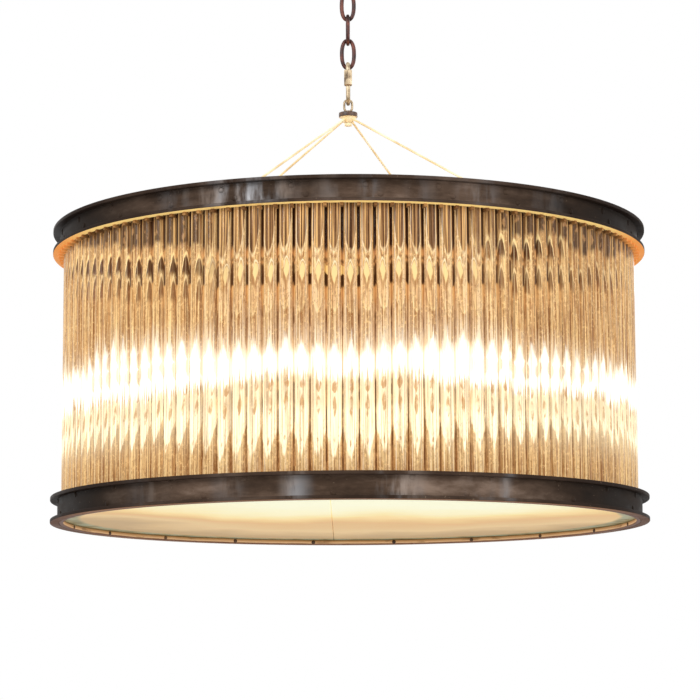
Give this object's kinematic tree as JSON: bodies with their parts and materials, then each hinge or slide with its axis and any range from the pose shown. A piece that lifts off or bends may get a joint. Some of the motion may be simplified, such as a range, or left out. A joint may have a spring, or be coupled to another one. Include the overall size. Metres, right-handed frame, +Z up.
{
  "type": "chandelier",
  "caption": "Round chandelier: a curtain of upright glass rods between two channel rings, with a frosted diffuser below, hung by wires, a quick link and a chain.",
  "frame": {"origin": "middle of the ceiling plate's face that lies on the ceiling", "axes": "+Z up into the ceiling, -Y towards the side that the picture shows, +X to the right there"},
  "size_m": [0.8, 0.8, 0.8056],
  "materials": {
    "ring_steel": "worn dark bronze paint over steel",
    "dark_steel": "dark grey, satin",
    "chain_bronze": "brown bronze, satin",
    "zinc": "zinc plated",
    "wire_brass": "pale brass colour, satin",
    "rod_glass": "clear, polished",
    "frosted_glass": "frosted",
    "bulb_glass": "frosted, lit warm white",
    "bakelite": "black, matt",
    "lead_sheath": "beige sheath",
    "terminal_plastic": "off-white"
  },
  "bodies": {
    "ceiling": {"ceiling_loop": "chain_bronze", "ceiling_plate": "ring_steel"},
    "link_1": {"chain_link_1": "chain_bronze"},
    "link_2": {"chain_link_2": "chain_bronze"},
    "link_3": {"chain_link_3": "chain_bronze"},
    "link_4": {"chain_link_4": "chain_bronze"},
    "quick_link": {"quick_link": "zinc"},
    "sleeve": {"quick_link_sleeve": "zinc"},
    "fixture": {"bottom_ring": "ring_steel", "cable_gland": "bakelite", "diffuser_ledge": "ring_steel", "hub_disc": "dark_steel", "hub_eye": "zinc", "junction_box": "dark_steel", "lamp_frame": "dark_steel", "lamp_lead_1": "lead_sheath", "lamp_lead_2": "lead_sheath", "lamp_lead_3": "lead_sheath", "lamp_lead_4": "lead_sheath", "lampholder_1": "bakelite", "lampholder_2": "bakelite", "lampholder_3": "bakelite", "lampholder_4": "bakelite", "rod_comb": "dark_steel", "rod_sector_01": "rod_glass", "rod_sector_02": "rod_glass", "rod_sector_03": "rod_glass", "rod_sector_04": "rod_glass", "rod_sector_05": "rod_glass", "rod_sector_06": "rod_glass", "rod_sector_07": "rod_glass", "rod_sector_08": "rod_glass", "rod_sector_09": "rod_glass", "rod_sector_10": "rod_glass", "rod_sector_11": "rod_glass", "rod_sector_12": "rod_glass", "suspension_wire_1": "wire_brass", "suspension_wire_2": "wire_brass", "suspension_wire_3": "wire_brass", "suspension_wire_4": "wire_brass", "terminal_block": "terminal_plastic", "tie_post_1": "dark_steel", "tie_post_2": "dark_steel", "tie_post_3": "dark_steel", "tie_post_4": "dark_steel", "tie_post_5": "dark_steel", "tie_post_6": "dark_steel", "tie_post_7": "dark_steel", "tie_post_8": "dark_steel", "top_ring": "ring_steel", "wire_lug_1": "dark_steel", "wire_lug_2": "dark_steel", "wire_lug_3": "dark_steel", "wire_lug_4": "dark_steel"},
    "panel_left": {"diffuser_panel_left": "frosted_glass"},
    "panel_right": {"diffuser_panel_right": "frosted_glass"},
    "bulb_1": {"bulb_1": "bulb_glass"},
    "bulb_2": {"bulb_2": "bulb_glass"},
    "bulb_3": {"bulb_3": "bulb_glass"},
    "bulb_4": {"bulb_4": "bulb_glass"}
  },
  "joints": [
    {"name": "link_1_swing", "type": "hinge", "parent": "ceiling", "child": "link_1", "pos_m": [0, 0, -0.0412], "axis": [1, 0, 0], "range_deg": [-30, 30]},
    {"name": "link_2_swing", "type": "hinge", "parent": "link_1", "child": "link_2", "pos_m": [0, 0, -0.0749], "axis": [0, 1, 0], "range_deg": [-30, 30]},
    {"name": "link_3_swing", "type": "hinge", "parent": "link_2", "child": "link_3", "pos_m": [0, 0, -0.1091], "axis": [1, 0, 0], "range_deg": [-30, 30]},
    {"name": "link_4_swing", "type": "hinge", "parent": "link_3", "child": "link_4", "pos_m": [0, 0, -0.1433], "axis": [0, 1, 0], "range_deg": [-30, 30]},
    {"name": "quick_link_swing", "type": "hinge", "parent": "link_4", "child": "quick_link", "pos_m": [0, 0, -0.1775], "axis": [1, 0, 0], "range_deg": [-30, 30]},
    {"name": "fixture_swing", "type": "hinge", "parent": "quick_link", "child": "fixture", "pos_m": [0, 0, -0.2272], "axis": [0, 1, 0], "range_deg": [-30, 30]},
    {"name": "sleeve_unscrew", "type": "slide", "parent": "quick_link", "child": "sleeve", "axis": [0, 0, -1], "range_m": [0, 0.014]},
    {"name": "bulb_1_unscrew", "type": "slide", "parent": "fixture", "child": "bulb_1", "axis": [0, 0, -1], "range_m": [0, 0.035]},
    {"name": "bulb_2_unscrew", "type": "slide", "parent": "fixture", "child": "bulb_2", "axis": [0, 0, -1], "range_m": [0, 0.035]},
    {"name": "bulb_3_unscrew", "type": "slide", "parent": "fixture", "child": "bulb_3", "axis": [0, 0, -1], "range_m": [0, 0.035]},
    {"name": "bulb_4_unscrew", "type": "slide", "parent": "fixture", "child": "bulb_4", "axis": [0, 0, -1], "range_m": [0, 0.035]},
    {"name": "panel_left_lift", "type": "slide", "parent": "fixture", "child": "panel_left", "axis": [0, 0, 1], "range_m": [0, 0.0062]},
    {"name": "panel_right_lift", "type": "slide", "parent": "fixture", "child": "panel_right", "axis": [0, 0, 1], "range_m": [0, 0.0062]}
  ]
}
